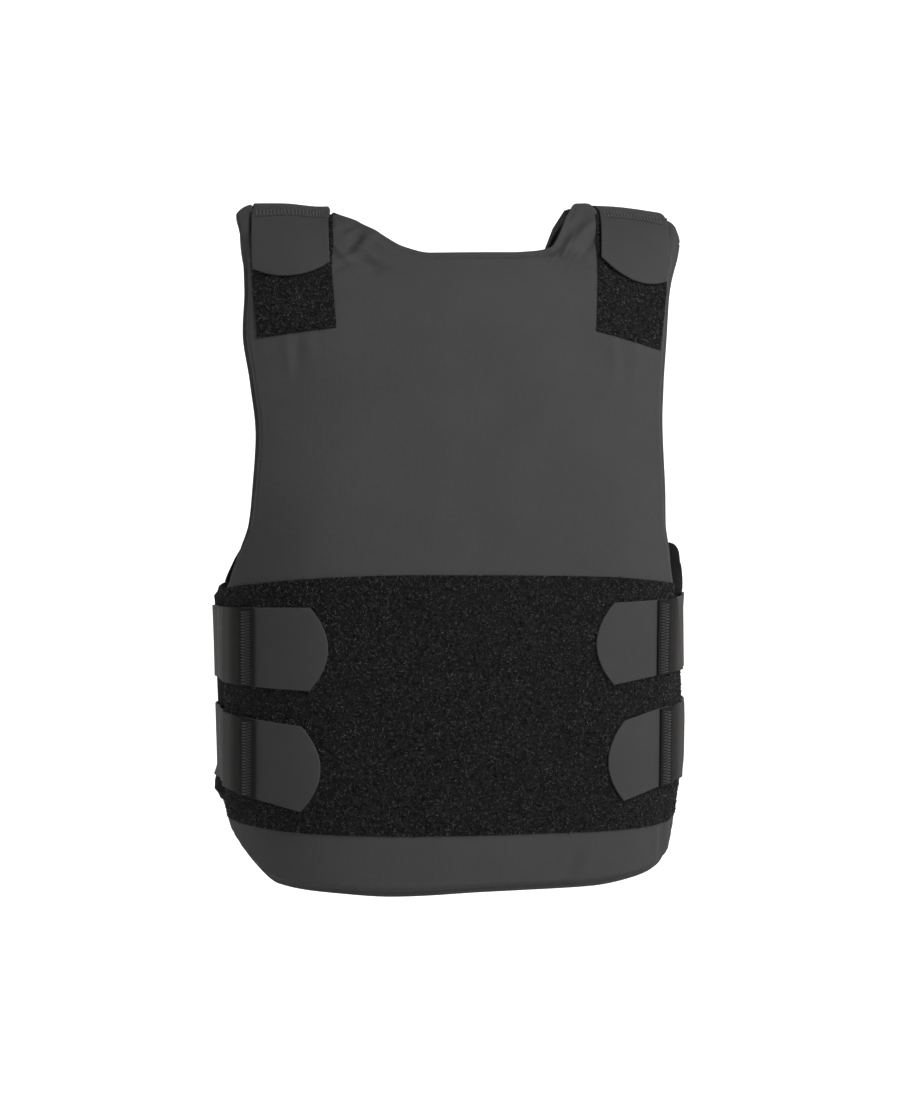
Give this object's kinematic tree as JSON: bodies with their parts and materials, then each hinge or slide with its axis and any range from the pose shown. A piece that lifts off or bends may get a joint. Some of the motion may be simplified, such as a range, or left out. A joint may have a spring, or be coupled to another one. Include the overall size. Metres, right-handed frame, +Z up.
{
  "type": "concealable body armour vest",
  "caption": "Dark grey soft body armour vest kept in its worn form, with padded front and back panels, loop bands, hook tabs and elastic side and shoulder straps.",
  "frame": {"origin": "midway between the shoulders, on the line where the vest rests on the wearer", "axes": "+Z up along the vest's height, -Y out of the front, +X to the right as seen from the front (the wearer's left)"},
  "size_m": [0.3894, 0.2438, 0.5582],
  "materials": {
    "carrier_cloth": "matte dark grey woven microfibre",
    "hook_tab_cloth": "matte, tightly woven",
    "loop_pile": "matte black looped pile",
    "elastic": "matte ribbed elastic webbing"
  },
  "bodies": {
    "root": {"front_panel": "carrier_cloth", "back_panel": "carrier_cloth", "loop_band_upper": "loop_pile", "loop_band_lower": "loop_pile", "side_tab_left_upper": "hook_tab_cloth", "side_tab_left_lower": "hook_tab_cloth", "side_tab_right_upper": "hook_tab_cloth", "side_tab_right_lower": "hook_tab_cloth", "side_strap_left_upper": "elastic", "side_strap_left_lower": "elastic", "side_strap_right_upper": "elastic", "side_strap_right_lower": "elastic", "shoulder_patch_left": "loop_pile", "shoulder_patch_right": "loop_pile", "shoulder_tab_left": "hook_tab_cloth", "shoulder_tab_right": "hook_tab_cloth", "shoulder_strap_left": "elastic", "shoulder_strap_right": "elastic"}
  },
  "joints": []
}
